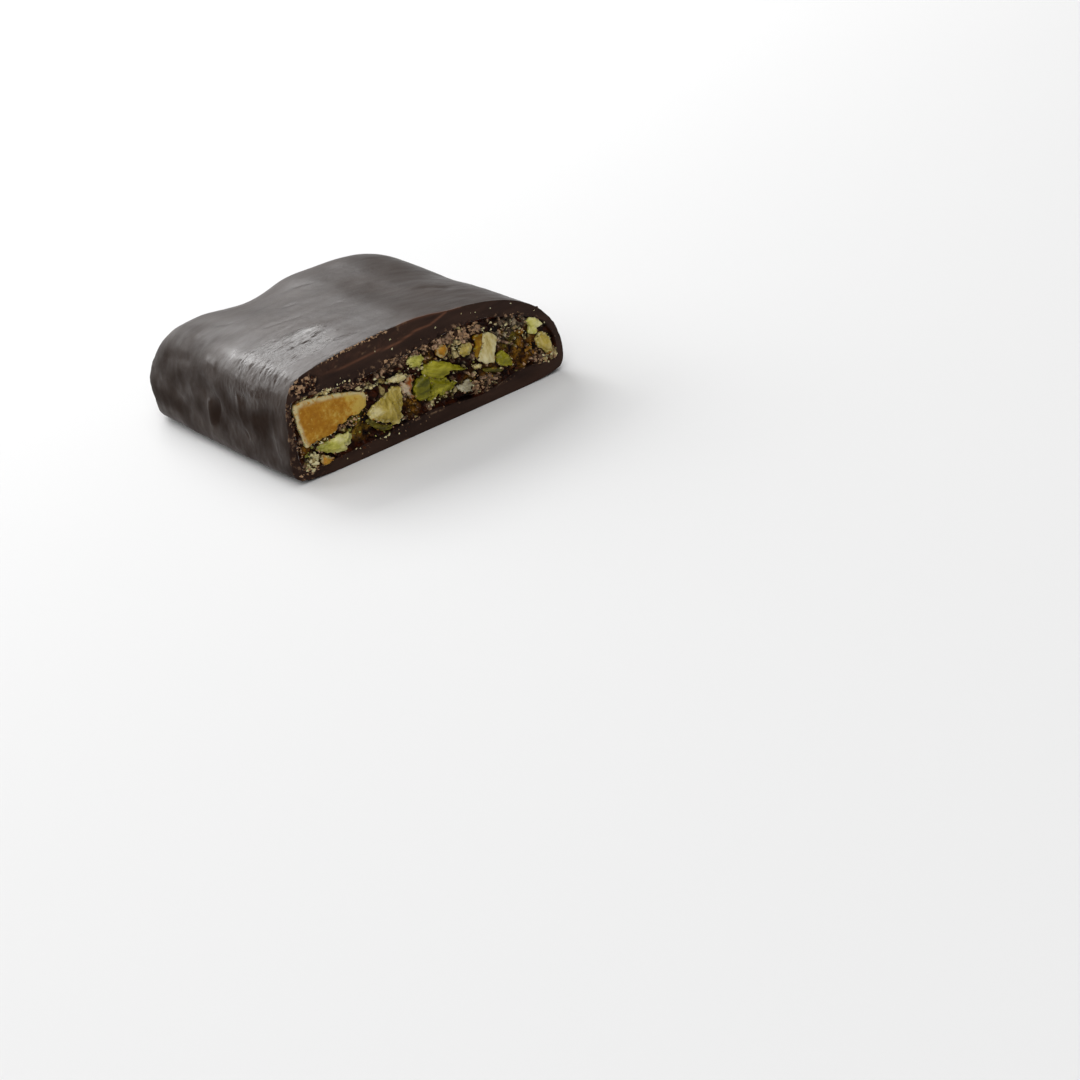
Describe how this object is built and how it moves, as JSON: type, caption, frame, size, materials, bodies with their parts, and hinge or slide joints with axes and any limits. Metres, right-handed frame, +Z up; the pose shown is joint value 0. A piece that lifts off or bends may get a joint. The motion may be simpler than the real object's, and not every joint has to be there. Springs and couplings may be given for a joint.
{
  "type": "filled chocolate bar half",
  "caption": "Half of a dark chocolate bar, cut across to show a sticky filling of pistachio, pale nuts and orange fruit.",
  "frame": {"origin": "on the flat base, under the middle of the part's bounding box", "axes": "+Z up from the base, +X across the bar, -Y out of the cut face, +Y towards the bar's own rounded end"},
  "size_m": [0.0516, 0.0528, 0.0178],
  "materials": {
    "dark_chocolate": "dark chocolate with a soft satin sheen, matt and crumbly where it is cut",
    "nut_filling": "sticky dark brown paste full of fine nut crumbs",
    "orange_fruit": "moist orange candied fruit with a pale rim",
    "amber_fruit": "translucent amber jelly",
    "pistachio_green": "cut pistachio, yellow green",
    "pistachio_lime": "cut pistachio, pale lime green",
    "nut_yellow": "cut nut, pale yellow, slightly waxy",
    "nut_cream": "cut nut, cream white, dry"
  },
  "bodies": {
    "root": {"coating": "dark_chocolate", "filling": "nut_filling", "orange_fruit_large": "orange_fruit", "orange_fruit_bit": "orange_fruit", "amber_fruit_bit": "amber_fruit", "pistachio_large": "pistachio_green", "pistachio_low": "pistachio_green", "pistachio_left": "pistachio_lime", "pistachio_top": "pistachio_lime", "nut_cream_end": "pistachio_lime", "nut_pale": "nut_yellow", "nut_yellow_end": "nut_yellow", "nut_yellow_bit": "nut_yellow", "nut_cream_block": "nut_cream", "nut_cream_flake": "nut_cream", "nut_white": "nut_cream"}
  },
  "joints": []
}
